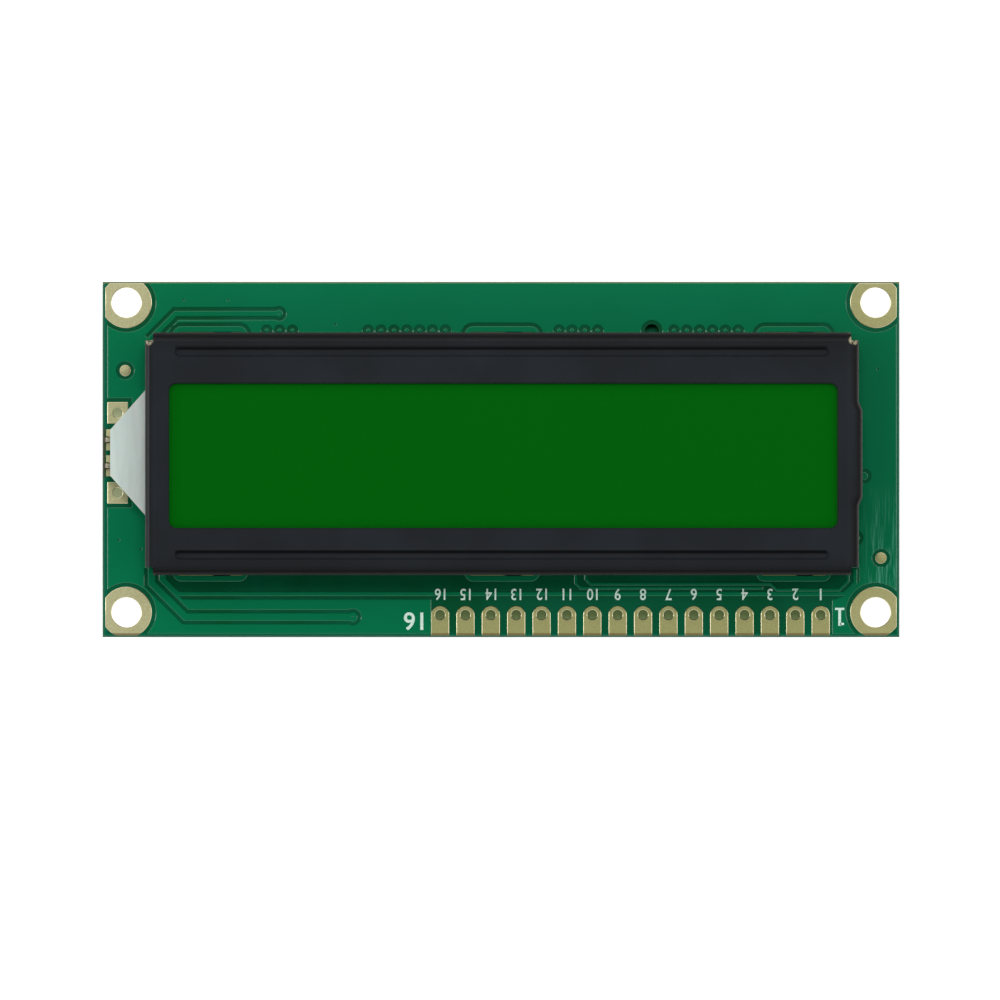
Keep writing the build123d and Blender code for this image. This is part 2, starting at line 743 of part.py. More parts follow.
# Lamp that shines into the light guide, with its two leads and their solder
with BuildPart() as back_light_lamp:
    with BuildSketch(Plane((tail_end + lamp_length / 2, back_light_y, lamp_bottom))):
        Rectangle(lamp_length, lamp_width)
    extrude(amount=lamp_height)
back_light_lamp.part.label = "back_light_lamp"
export_step(back_light_lamp.part, "parts/back_light_lamp.step")

with BuildPart() as lamp_leads:
    for side in (-1, 1):
        y = back_light_y + side * lamp_pitch / 2
        with BuildLine() as lead_path:
            FilletPolyline((tail_end, y, lead_level), (lead_x, y, lead_level),
                           (lead_x, y, front + pad_thickness), radius=lead_bend)
        with BuildSketch(Plane((tail_end, y, lead_level), x_dir=(0, 1, 0), z_dir=(-1, 0, 0))):
            Rectangle(lead_width, lead_thickness)
        sweep(path=lead_path.wires()[0])
lamp_leads.part.label = "lamp_leads"
export_step(lamp_leads.part, "parts/lamp_leads.step")

with BuildPart() as lamp_solder:
    with Locations((lead_x, back_light_y, front + pad_thickness)):
        with GridLocations(lamp_pitch, lamp_pitch, 1, 2):
            Cone(solder_radius, solder_top_radius, solder_height,
                 align=(Align.CENTER, Align.CENTER, Align.MIN))
            Box(lead_thickness, lead_width, solder_height, align=(Align.CENTER, Align.CENTER, Align.MIN),
                mode=Mode.SUBTRACT)
    with BuildSketch(Plane((tail_end + solder_radius - solder_clearance, back_light_y, front))):
        Rectangle(2 * solder_radius, 2 * lamp_pitch)
    extrude(amount=guide_thickness, mode=Mode.SUBTRACT)
lamp_solder.part.label = "lamp_solder"
export_step(lamp_solder.part, "parts/lamp_solder.step")


# Copper on the back: a pour round the edge, and fans of traces from the two chips
def fan(x, count, near_pitch, far_pitch, near_y, bend_y, far_y):
    """Routes that leave a chip side by side and spread, or close up, at 45 degrees."""
    routes = []
    away = 1 if far_y > near_y else -1
    for step in range(count):
        rank = step - (count - 1) / 2
        near_x = x + rank * near_pitch
        far_x = x + rank * far_pitch
        turn_y = bend_y - away * abs(far_x - near_x)
        if abs(far_x - near_x) < back_trace_width:
            routes.append([(near_x, near_y), (near_x, far_y)])
        else:
            routes.append([(near_x, near_y), (near_x, turn_y), (far_x, bend_y), (far_x, far_y)])
    return routes


upper_via_y = bezel_y + strip_y - contact_length
lower_via_y = bezel_y - strip_y + contact_length
header_fan = fan(controller_x, signal_count, signal_chip_pitch, header_pitch, drop_y,
                 header_pad_top + back_trace_width, header_y)
controller_fan = fan(controller_x, controller_upper_count, chip_pitch, contact_pitch, drop_y,
                     upper_via_y - back_trace_width, upper_via_y)
driver_fan = fan(driver_x, driver_upper_count, driver_chip_pitch, driver_fan_pitch, drop_y,
                 upper_via_y - back_trace_width, upper_via_y)
driver_lower_fan = fan(driver_x, driver_lower_count, chip_pitch, contact_pitch, drop_y,
                       lower_via_y + back_trace_width, lower_via_y)
bus_levels = [drop_y + bus_shift + (step - (bus_count - 1) / 2) * chip_pitch for step in range(bus_count)]
bus = [[(driver_x, level), (controller_x, level)] for level in bus_levels]

component_x = (left_column + right_column) / 2
component_y = board_y + (component_lower_margin - component_upper_margin) / 2
component_field_length = right_column - left_column + 2 * component_field_reach
component_field_width = board_width - component_lower_margin - component_upper_margin
header_field_length = header_count * header_pitch + header_field_margin
header_field_height = component_y - board_lower

with BuildPart() as back_copper:
    with BuildSketch(Plane.XY.offset(-pour_thickness)):
        with Locations((pour_x, pour_y)):
            Rectangle(pour_length, pour_width)
        with GridLocations(hole_pitch_x, hole_pitch_y, 2, 2):
            Circle(mount_pad_radius + copper_gap, mode=Mode.SUBTRACT)
        with Locations((component_x, component_y)):
            Rectangle(component_field_length, component_field_width, mode=Mode.SUBTRACT)
        with Locations((header_x, board_lower)):
            Rectangle(header_field_length, header_field_height, mode=Mode.SUBTRACT)
        with Locations((-board_right, back_light_y)):
            Rectangle(spare_field_length, spare_field_width, mode=Mode.SUBTRACT)
        for route in header_fan + controller_fan + driver_fan + driver_lower_fan + bus:
            with BuildLine():
                Polyline(*route)
            trace(line_width=back_trace_width)
        with Locations(*[route[-1] for route in controller_fan + driver_fan + driver_lower_fan]):
            Circle(via_pad_radius)
        with Locations(*slot_row()):
            Circle(tab_foot_width / 2 + foot_clearance, mode=Mode.SUBTRACT)
        with Locations((controller_x, drop_y)):
            Circle(controller_radius, mode=Mode.SUBTRACT)
        with Locations((driver_x, drop_y)):
            Circle(driver_radius, mode=Mode.SUBTRACT)
        with Locations((header_x, header_y)):
            with GridLocations(header_pitch, header_pitch, header_count, 1):
                Circle(header_pad_radius, mode=Mode.SUBTRACT)
    extrude(amount=pour_thickness)
back_copper.part.label = "back_copper"
export_step(back_copper.part, "parts/back_copper.step")


# The two chips: bare dies glued to the board, each under a drop of black epoxy
with BuildPart() as controller_die:
    with BuildSketch(Plane((controller_x, drop_y, -die_thickness))):
        Rectangle(controller_die_length, controller_die_width)
    extrude(amount=die_thickness)
controller_die.part.label = "controller_die"
export_step(controller_die.part, "parts/controller_die.step")

with BuildPart() as driver_die:
    with BuildSketch(Plane((driver_x, drop_y, -die_thickness))):
        Rectangle(driver_die_length, driver_die_width)
    extrude(amount=die_thickness)
driver_die.part.label = "driver_die"
export_step(driver_die.part, "parts/driver_die.step")


def drop_profile(radius):
    """Half outline of an epoxy drop: a low rim, a steep shoulder and a nearly flat top."""
    Line((0, 0), (radius, 0))
    Line((radius, 0), (radius, drop_rim_height))
    shoulder = (drop_shoulder * radius, drop_shoulder * drop_height)
    Spline((radius, drop_rim_height), shoulder, (0, drop_height), tangents=[(-0.4, 1), (-1, 0)])
    Line((0, drop_height), (0, 0))


with BuildPart() as controller_drop:
    with BuildSketch(Plane((controller_x, drop_y, 0), x_dir=(1, 0, 0), z_dir=(0, 1, 0))):
        with BuildLine():
            drop_profile(controller_radius)
        make_face()
    revolve(axis=Axis((controller_x, drop_y, 0), (0, 0, 1)))
    add(controller_die.part, mode=Mode.SUBTRACT)
controller_drop.part.label = "controller_drop"
export_step(controller_drop.part, "parts/controller_drop.step")

with BuildPart() as driver_drop:
    with BuildSketch(Plane((driver_x, drop_y, 0), x_dir=(1, 0, 0), z_dir=(0, 1, 0))):
        with BuildLine():
            drop_profile(driver_radius)
        make_face()
    revolve(axis=Axis((driver_x, drop_y, 0), (0, 0, 1)))
    add(driver_die.part, mode=Mode.SUBTRACT)
driver_drop.part.label = "driver_drop"
export_step(driver_drop.part, "parts/driver_drop.step")


# Chip resistors and capacitors, hanging from their lands under the board
seat_level = -pad_thickness
body_length = chip_length - 2 * cap_length


def placed(x, row, turned=False):
    """Place of a small part on its lands, along the board or turned across it."""
    return Location((x, drop_y + row, seat_level), (0, 0, 90.0 if turned else 0.0))


resistors = [placed(left_column, row) for row in left_resistor_rows]
resistors.append(placed(right_column, right_resistor_row, turned=True))
for step in range(ladder_count):
    offset_x = (step - (ladder_count - 1) / 2) * ladder_pitch
    resistors.append(placed(ladder_x + offset_x, ladder_row, turned=True))
capacitors = [placed(right_column, row, turned=True) for row in right_capacitor_rows]
capacitors.append(placed(left_column, left_capacitor_row, turned=True))
jumpers = [placed(left_column, row) for row in jumper_rows]
hanging = (Align.CENTER, Align.CENTER, Align.MAX)

with BuildPart() as component_lands:
    with Locations(*resistors, *capacitors):
        with GridLocations(land_spread, land_spread, 2, 1):
            Box(land_length, land_width, pad_thickness, align=(Align.CENTER, Align.CENTER, Align.MIN))
    with Locations(*jumpers):
        with GridLocations(jumper_spread, jumper_spread, 2, 1):
            Box(land_length, land_width, pad_thickness, align=(Align.CENTER, Align.CENTER, Align.MIN))
component_lands.part.label = "component_lands"
export_step(component_lands.part, "parts/component_lands.step")


def chip_bodies(places, height):
    """Ceramic bodies between the end caps, a hair off the lands."""
    with Locations(*places):
        with Locations((0, 0, -cap_wrap)):
            Box(body_length, chip_width, height, align=hanging)


def chip_caps(places, height):
    """Tinned end caps that wrap the ceramic body's ends."""
    with Locations(*places):
        with GridLocations(chip_length - cap_length, chip_length, 2, 1):
            Box(cap_length, chip_width + 2 * cap_wrap, height + 2 * cap_wrap, align=hanging)


with BuildPart() as resistor_bodies:
    chip_bodies(resistors, resistor_height)
resistor_bodies.part.label = "resistor_bodies"
export_step(resistor_bodies.part, "parts/resistor_bodies.step")

with BuildPart() as resistor_caps:
    chip_caps(resistors, resistor_height)
resistor_caps.part.label = "resistor_caps"
export_step(resistor_caps.part, "parts/resistor_caps.step")

with BuildPart() as capacitor_bodies:
    chip_bodies(capacitors, capacitor_height)
capacitor_bodies.part.label = "capacitor_bodies"
export_step(capacitor_bodies.part, "parts/capacitor_bodies.step")

with BuildPart() as capacitor_caps:
    chip_caps(capacitors, capacitor_height)
capacitor_caps.part.label = "capacitor_caps"
export_step(capacitor_caps.part, "parts/capacitor_caps.step")

# Solder wedges between each end cap and the rest of its land
wedge_reach = land_spread / 2 + land_length / 2 - chip_length / 2
with BuildPart() as component_solder:
    for place in resistors + capacitors:
        wedge_plane = Plane(place)
        with BuildSketch(Plane(wedge_plane.origin, x_dir=wedge_plane.x_dir, z_dir=wedge_plane.y_dir)):
            for end in (-1, 1):
                with BuildLine():
                    Polyline((end * chip_length / 2, 0), (end * (chip_length / 2 + wedge_reach), 0),
                             (end * chip_length / 2, fillet_height), close=True)
                make_face()
        extrude(amount=chip_width / 2, both=True)
component_solder.part.label = "component_solder"
export_step(component_solder.part, "parts/component_solder.step")
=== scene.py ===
from math import pi, radians

import bmesh
import bpy
from bpy.props import FloatProperty, IntProperty, PointerProperty, StringProperty
from mathutils import Matrix, Vector


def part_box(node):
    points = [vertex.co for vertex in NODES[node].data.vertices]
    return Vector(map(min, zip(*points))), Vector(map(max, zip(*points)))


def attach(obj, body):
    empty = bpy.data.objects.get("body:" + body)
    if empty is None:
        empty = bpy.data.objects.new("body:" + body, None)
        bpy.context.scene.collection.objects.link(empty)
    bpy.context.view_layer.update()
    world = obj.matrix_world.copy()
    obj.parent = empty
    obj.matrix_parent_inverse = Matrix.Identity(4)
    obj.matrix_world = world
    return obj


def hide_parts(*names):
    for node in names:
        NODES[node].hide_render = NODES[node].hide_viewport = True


bl_info = {
    "name": "Character display module",
    "version": (1, 0),
    "blender": (4, 5, 0),
    "location": "View3D > Sidebar > Display",
    "description": "Finishes the circuit board, bezel, glass cell and back light of a display module",
    "category": "Object",
}

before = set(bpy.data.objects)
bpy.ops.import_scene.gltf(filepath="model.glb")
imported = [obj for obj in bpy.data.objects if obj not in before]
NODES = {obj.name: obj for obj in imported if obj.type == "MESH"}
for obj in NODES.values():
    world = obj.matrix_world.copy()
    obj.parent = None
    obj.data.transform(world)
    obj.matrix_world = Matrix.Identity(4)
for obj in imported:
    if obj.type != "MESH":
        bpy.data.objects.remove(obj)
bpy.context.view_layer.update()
MM = 0.001

BOARD_LOW, BOARD_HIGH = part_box("circuit_board")
BEZEL_LOW, BEZEL_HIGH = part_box("bezel")
HEADER_LOW, HEADER_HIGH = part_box("header_pads")
PAD_LOW, PAD_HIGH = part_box("lamp_pads")
POUR_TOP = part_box("front_copper")[1].z
TAIL_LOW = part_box("light_guide")[0]
LEAD_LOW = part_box("lamp_leads")[0]
FRONT = BOARD_HIGH.z
FLOOR = BEZEL_LOW.z

TAB_REACH = 0.717 * MM  # How far the twisted tabs stand out from the bezel's walls
MASK_FOOT = 0.032 * MM  # Height over the board at which the mask's slope ends
RIM_DROP = 0.035 * MM  # How far etching lowers a pad's rim
SHADE_CARD_GAP = 0.13 * MM  # From the board to the painted shade card behind it


# Settings that a user may change

class BoardSettings(bpy.types.PropertyGroup):
    copper_green: StringProperty(name="Mask over copper", description="Colour of the mask over copper",
                                 default="056F46")
    bare_green: StringProperty(name="Mask over laminate", description="Colour of the mask over bare laminate",
                               default="054E2E")
    laminate: StringProperty(name="Laminate", description="Colour of the sawn and scored laminate",
                             default="7C7A50")
    gold: StringProperty(name="Gold", description="Colour of the gold plated rings", default="C0BE98")
    right_gold: StringProperty(name="Right gold", description="Colour of the rings at the right end",
                               default="ABAA7A")
    dull_gold: StringProperty(name="Dull gold", description="Colour of the gold that was handled",
                              default="A3A370")
    ink: StringProperty(name="Ink", description="Colour of the printed numbers", default="D6EDE0")
    mask_slope: FloatProperty(name="Mask slope", description="Width of the mask's slope beside a copper edge",
                              default=0.055 * MM, unit="LENGTH")
    pad_slope: FloatProperty(name="Pad slope", description="Width of the slope that etching leaves on a pad",
                             default=0.055 * MM, unit="LENGTH")
    number_height: FloatProperty(name="Pin number height", description="Height of the numbers over the pads",
                                 default=1.15 * MM, unit="LENGTH")
    end_height: FloatProperty(name="End number height", description="Height of the row's two end numbers",
                              default=1.8 * MM, unit="LENGTH")
    ink_thickness: FloatProperty(name="Ink thickness", description="How far the ink stands above the mask",
                                 default=0.012 * MM, unit="LENGTH")


class BezelSettings(bpy.types.PropertyGroup):
    paint: StringProperty(name="Paint", description="Colour of the bezel's coating", default="171A1E")
    bare_steel: StringProperty(name="Bare steel", description="Colour where the coating is worn off",
                               default="8F8770")


class DisplaySettings(bpy.types.PropertyGroup):
    window: StringProperty(name="Window", description="Colour of the lit polarising film", default="035A0A")
    acrylic: StringProperty(name="Light guide", description="Colour of the milky light guide",
                            default="CBDCD6")


class StageSettings(bpy.types.PropertyGroup):
    floor_size: FloatProperty(name="Floor", description="Side of the floor", default=3.0, unit="LENGTH")
    camera_height: FloatProperty(name="Camera height", description="Camera's height over the board",
                                 default=1.7, unit="LENGTH")
    field: FloatProperty(name="Field", description="Width that the picture takes in at the board",
                         default=100.1 * MM, unit="LENGTH")
    centre_x: FloatProperty(name="Centre X", description="Picture's centre on the board",
                            default=-0.1 * MM, unit="LENGTH")
    centre_y: FloatProperty(name="Centre Y", description="Picture's centre on the board",
                            default=-4.264 * MM, unit="LENGTH")
    tent: FloatProperty(name="Tent", description="Strength of the light tent", default=1.06)
    key_power: FloatProperty(name="Key light", description="Power of the light over the upper edge",
                             default=2.5, unit="POWER")
    side_power: FloatProperty(name="Side light", description="Power of the light on the left",
                              default=0.4, unit="POWER")


# Helpers

def linear(hex_code):
    """Linear colour of an sRGB hex value."""
    values = [int(hex_code[i:i + 2], 16) / 255 for i in (0, 2, 4)]
    return (*[v / 12.92 if v <= 0.04045 else ((v + 0.055) / 1.055) ** 2.4 for v in values], 1.0)


def node(tree, kind, inputs=(), out=0, **settings):
    """Adds a shader node with its settings and inputs, each a value or another node's output, and
    returns one of its outputs."""
    added = tree.nodes.new("ShaderNode" + kind)
    for key, value in settings.items():
        setattr(added, key, value)
    for key, value in inputs.items() if isinstance(inputs, dict) else enumerate(inputs):
        if isinstance(value, bpy.types.NodeSocket):
            tree.links.new(value, added.inputs[key])
        else:
            added.inputs[key].default_value = value
    return added.outputs[out]


def new_material(name, **values):
    """A material with its principled shader's constants set on the shader's own sockets."""
    material = bpy.data.materials.new(name)
    material.use_nodes = True
    shader = material.node_tree.nodes["Principled BSDF"]
    for key, value in values.items():
        shader.inputs[key.replace("_", " ")].default_value = value
    return material, material.node_tree, shader


def finish_node(name, material):
    """Gives a CAD node its material."""
    slots = NODES[name].data.materials
    slots.clear()
    slots.append(material)


def finish_piece(piece, material, slot_name, *replaced):
    """Gives a new piece its material and its body, and hides what it stands for. The slot name is not used."""
    piece.data.materials.clear()
    piece.data.materials.append(material)
    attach(piece, "root")
    if replaced:
        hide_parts(*replaced)


def only(piece):
    """Makes one object the only selected and the active one."""
    bpy.ops.object.select_all(action="DESELECT")
    piece.select_set(True)
    bpy.context.view_layer.objects.active = piece


def apply_place(piece):
    """Puts an object's place into its mesh."""
    only(piece)
    bpy.ops.object.transform_apply(location=True, rotation=True, scale=True)


def joined(pieces, name):
    """Joins pieces into one object."""
    only(pieces[0])
    for piece in pieces:
        piece.select_set(True)
    bpy.ops.object.join()
    bpy.context.object.name = name
    return bpy.context.object


def open_copy(source, name):
    """Copies a CAD node, merges its triangles into faces, and leaves it in edit mode, where lengths
    are in millimetres."""
    piece = bpy.data.objects.new(name, NODES[source].data.copy())
    bpy.context.scene.collection.objects.link(piece)
    piece.data.transform(Matrix.Scale(1 / MM, 4))
    only(piece)
    bpy.ops.object.mode_set(mode="EDIT")
    bpy.ops.mesh.select_all(action="SELECT")
    bpy.ops.mesh.remove_doubles(threshold=0.0005)
    bpy.ops.mesh.dissolve_limited(angle_limit=radians(1.0))
    return piece


def close_copy(piece):
    """Turns the faces outwards and smooths round walls, but no rim, and goes back to metres."""
    bpy.ops.mesh.select_all(action="SELECT")
    bpy.ops.mesh.normals_make_consistent(inside=False)
    bpy.ops.object.mode_set(mode="OBJECT")
    bpy.ops.object.shade_smooth_by_angle(angle=radians(28))
    piece.data.transform(Matrix.Scale(MM, 4))


def masked_copy(source, name, foot_level, spread):
    """Copies copper and pushes its foot outwards all round, as the mask runs down from its edges."""
    piece = open_copy(source, name)
    bpy.ops.mesh.select_all(action="SELECT")
    bpy.ops.mesh.bisect(plane_co=(0, 0, foot_level / MM), plane_no=(0, 0, 1))
    bpy.ops.transform.shrink_fatten(value=spread / MM, use_even_offset=True)
    close_copy(piece)
    return piece


def etched_copy(source, name, face_levels, width):
    """Copies pads, insets their flat faces and lowers the rims, as etching does."""
    piece = open_copy(source, name)
    middle = sum(corner[2] for corner in piece.bound_box) / 8
    for level in face_levels:
        level /= MM
        bpy.ops.mesh.select_mode(type="FACE")
        bpy.ops.mesh.select_all(action="DESELECT")
        mesh = bmesh.from_edit_mesh(piece.data)
        for face in mesh.faces:
            face.select = all(abs(v.co.z - level) < 0.002 for v in face.verts)
        bmesh.update_edit_mesh(piece.data)
        bpy.ops.mesh.inset(thickness=width / MM, depth=0.0, use_boundary=True, use_even_offset=True)
        bpy.ops.mesh.select_mode(type="VERT")
        bpy.ops.mesh.select_all(action="DESELECT")
        mesh = bmesh.from_edit_mesh(piece.data)
        for vert in mesh.verts:
            at_wall = any(abs(face.normal.z) < 0.5 for face in vert.link_faces)
            vert.select = abs(vert.co.z - level) < 0.002 and at_wall
        mesh.select_flush_mode()
        bmesh.update_edit_mesh(piece.data)
        inwards = 1 if level < middle else -1
        bpy.ops.transform.translate(value=(0, 0, inwards * RIM_DROP / MM))
    close_copy(piece)
    return piece


# Materials

def mask_over_laminate(settings):
    """Glossy green solder mask, printed and cured over woven glass laminate: dark, with the 0.5 mm
    weave faintly raised. Scored edges and drilled walls are raw laminate, rough and straw coloured."""
    material, tree, shader = new_material("solder_mask_over_laminate", IOR=1.5)
    spot = node(tree, "TexCoord", out="Object")
    x = node(tree, "SeparateXYZ", (spot,))
    y = x.node.outputs["Y"]
    level = node(tree, "SeparateXYZ", (spot.node.outputs["Normal"],), out="Z")
    level = node(tree, "Math", (level,), operation="ABSOLUTE")
    flat = node(tree, "Math", (level, 0.98), operation="GREATER_THAN")
    cloud = node(tree, "TexNoise", {"Vector": spot, "Scale": 1 / (6 * MM)})
    cloud = node(tree, "MapRange", (cloud, 0.35, 0.65))
    green = node(tree, "Mix", {0: cloud, 6: linear(settings.bare_green), 7: linear("07573A")}, out=2,
                 data_type="RGBA")

    # Beyond the copper, along three edges, a lighter green is painted in for light coming through the laminate
    left = node(tree, "Math", (x, BOARD_LOW.x + 0.5 * MM), operation="LESS_THAN")
    right = node(tree, "Math", (x, BOARD_HIGH.x - 0.32 * MM), operation="GREATER_THAN")
    lower = node(tree, "Math", (y, BOARD_LOW.y + 0.36 * MM), operation="LESS_THAN")
    painted_edge_light = node(tree, "Math", (left, right), operation="MAXIMUM")
    painted_edge_light = node(tree, "Math", (painted_edge_light, lower), operation="MAXIMUM")
    painted_edge_light = node(tree, "Math", (painted_edge_light, 0.85), operation="MULTIPLY")
    green = node(tree, "Mix", {0: painted_edge_light, 6: green, 7: linear("0A6248")}, out=2, data_type="RGBA")

    # Score marks keep a green smear, apart from the upper edge, which was torn off its neighbour
    place = node(tree, "Mapping", {"Vector": spot, "Scale": (1600, 1600, 25000)})
    fibre = node(tree, "TexNoise", {"Vector": place, "Scale": 1.0, "Detail": 3.0})
    raw = node(tree, "Mix", {0: fibre, 6: linear(settings.laminate), 7: linear("4A5A3C")}, out=2,
               data_type="RGBA")
    scored = node(tree, "Mix", {0: fibre, 6: linear("085A40"), 7: linear("12553B")}, out=2, data_type="RGBA")
    torn = node(tree, "Math", (y, BOARD_HIGH.y - 0.3 * MM), operation="GREATER_THAN")
    scored = node(tree, "Mix", {0: torn, 6: scored, 7: linear("6A7554")}, out=2, data_type="RGBA")
    skin = node(tree, "Mix", {0: flat, 6: scored, 7: green}, out=2, data_type="RGBA")
    wall = node(tree, "Math", (level, 0.3), operation="LESS_THAN")
    skin = node(tree, "Mix", {0: wall, 6: skin, 7: raw}, out=2, data_type="RGBA")

    # The soldering iron browned the edge beside the lamp's pads
    iron = (BOARD_LOW.x, (PAD_LOW.y + PAD_HIGH.y) / 2, FRONT)
    burn = node(tree, "VectorMath", (spot, iron), out="Value", operation="DISTANCE")
    burn = node(tree, "MapRange", (burn, 2.3 * MM, 2.7 * MM, 0.8, 0.0))
    rim = node(tree, "Math", (x, BOARD_LOW.x + 0.32 * MM), operation="LESS_THAN")
    burn = node(tree, "Math", (burn, rim), operation="MULTIPLY")
    skin = node(tree, "Mix", {0: burn, 6: skin, 7: linear("3E3A24")}, out=2, data_type="RGBA")
    tree.links.new(skin, shader.inputs["Base Color"])

    rough = node(tree, "MapRange", (flat, 0.0, 1.0, 0.75, 0.12))
    tree.links.new(rough, shader.inputs["Roughness"])
    warp = node(tree, "TexWave", {"Vector": spot, "Scale": 628, "Distortion": 0.6}, out="Fac",
                bands_direction="X")
    weft = node(tree, "TexWave", {"Vector": spot, "Scale": 628, "Distortion": 0.6}, out="Fac",
                bands_direction="Y")
    weave = node(tree, "Math", (warp, weft), operation="ADD")
    weave = node(tree, "Math", (weave, flat), operation="MULTIPLY")
    relief = node(tree, "Bump", {"Height": weave, "Distance": 0.0006 * MM, "Strength": 1.0})
    tree.links.new(relief, shader.inputs["Normal"])
    return material


def mask_over_copper(settings):
    """Glossy green solder mask, printed and cured over rolled copper: lighter, because the copper
    shines through, with a slow change of thickness, painted shade towards the right end, and handling
    scratches at the lower right whose sheen is painted lighter."""
    material, tree, shader = new_material("solder_mask_over_copper", Roughness=0.11, IOR=1.5)
    spot = node(tree, "TexCoord", out="Object")
    x = node(tree, "SeparateXYZ", (spot,))
    y = x.node.outputs["Y"]
    cloud = node(tree, "TexNoise", {"Vector": spot, "Scale": 1 / (9 * MM), "Detail": 3.0})
    cloud = node(tree, "MapRange", (cloud, 0.3, 0.7))
    green = node(tree, "Mix", {0: cloud, 6: linear(settings.copper_green), 7: linear("07724B")}, out=2,
                 data_type="RGBA")
    # Painted shade: the mask turns darker towards the right end
    right = node(tree, "MapRange", (x, 30 * MM, 37 * MM, 0.0, 0.45))
    green = node(tree, "Mix", {0: right, 6: green, 7: linear("085C3A")}, out=2, data_type="RGBA")

    # The scratches run up and down, 0.16 mm apart; their lighter colour is painted sheen
    place = node(tree, "Mapping", {"Vector": spot, "Scale": (6250, 375, 6250)})
    scratch_sheen = node(tree, "TexNoise", {"Vector": place, "Scale": 1.0, "Detail": 3.0})
    scratch_sheen = node(tree, "MapRange", (scratch_sheen, 0.48, 0.72, 0.0, 0.8))
    strip = node(tree, "MapRange", (x, 35.9 * MM, 37.4 * MM))
    scratch_sheen = node(tree, "Math", (scratch_sheen, strip), operation="MULTIPLY")
    lower = node(tree, "MapRange", (y, -2.5 * MM, -11.5 * MM))
    scratch_sheen = node(tree, "Math", (scratch_sheen, lower), operation="MULTIPLY")
    green = node(tree, "Mix", {0: scratch_sheen, 6: green, 7: linear("4F9C83")}, out=2, data_type="RGBA")
    tree.links.new(green, shader.inputs["Base Color"])

    orange_peel = node(tree, "TexNoise", {"Vector": spot, "Scale": 1 / (0.6 * MM), "Detail": 1.0})
    relief = node(tree, "Bump", {"Height": orange_peel, "Distance": 0.001 * MM, "Strength": 1.0})
    tree.links.new(relief, shader.inputs["Normal"])
    return material


def immersion_gold(name, left_tone, right_tone):
    """Immersion gold over nickel on etched copper: pale, with a soft shine, a fine grain and painted shade
    towards the right end, smooth on the etched slopes with a painted highlight there, and brown where the
    score mark cut its lower end."""
    material, tree, shader = new_material(name, Metallic=1.0)
    spot = node(tree, "TexCoord", out="Object")
    x = node(tree, "SeparateXYZ", (spot,))
    y = x.node.outputs["Y"]
    level = node(tree, "SeparateXYZ", (spot.node.outputs["Normal"],), out="Z")
    level = node(tree, "Math", (level,), operation="ABSOLUTE")
    # Painted shade: the gold turns darker towards the right end
    right = node(tree, "MapRange", (x, BOARD_LOW.x, BOARD_HIGH.x))
    tone = node(tree, "Mix", {0: right, 6: linear(left_tone), 7: linear(right_tone)}, out=2, data_type="RGBA")
    cloud = node(tree, "TexNoise", {"Vector": spot, "Scale": 1 / (1.4 * MM)})
    cloud = node(tree, "Math", (cloud, 0.3), operation="MULTIPLY")
    tone = node(tree, "Mix", {0: cloud, 6: tone, 7: linear("9C9A66")}, out=2, data_type="RGBA")
    grain = node(tree, "TexNoise", {"Vector": spot, "Scale": 1 / (0.13 * MM), "Detail": 4.0})
    speck = node(tree, "MapRange", (grain, 0.4, 0.7, 0.0, 0.4))
    tone = node(tree, "Mix", {0: speck, 6: tone, 7: linear("8A8058")}, out=2, data_type="RGBA")
    slope_highlight = node(tree, "MapRange", (level, 0.9, 0.95, 0.8, 0.0))
    tone = node(tree, "Mix", {0: slope_highlight, 6: tone, 7: linear("E6DDB8")}, out=2, data_type="RGBA")
    cut = node(tree, "MapRange", (y, HEADER_LOW.y + 0.18 * MM, HEADER_LOW.y + 0.28 * MM, 0.75, 0.0))
    tone = node(tree, "Mix", {0: cut, 6: tone, 7: linear("6E5C3A")}, out=2, data_type="RGBA")
    tree.links.new(tone, shader.inputs["Base Color"])
    rough = node(tree, "MapRange", (level, 0.9, 0.95, 0.3, 0.64))
    tree.links.new(rough, shader.inputs["Roughness"])
    relief = node(tree, "Bump", {"Height": grain, "Distance": 0.004 * MM, "Strength": 1.0})
    tree.links.new(relief, shader.inputs["Normal"])
    return material


def printing_ink(settings):
    """White epoxy legend ink, screen printed: matte, and slightly green where it is thin."""
    material, tree, shader = new_material("white_legend_ink", Roughness=0.6)
    spot = node(tree, "TexCoord", out="Object")
    cover = node(tree, "TexNoise", {"Vector": spot, "Scale": 1 / (0.18 * MM)})
    cover = node(tree, "MapRange", (cover, 0.25, 0.6))
    tone = node(tree, "Mix", {0: cover, 6: linear("B4D8C6"), 7: linear(settings.ink)}, out=2, data_type="RGBA")
    tree.links.new(tone, shader.inputs["Base Color"])
    relief = node(tree, "Bump", {"Height": cover, "Distance": 0.004 * MM, "Strength": 1.0})
    tree.links.new(relief, shader.inputs["Normal"])
    return material


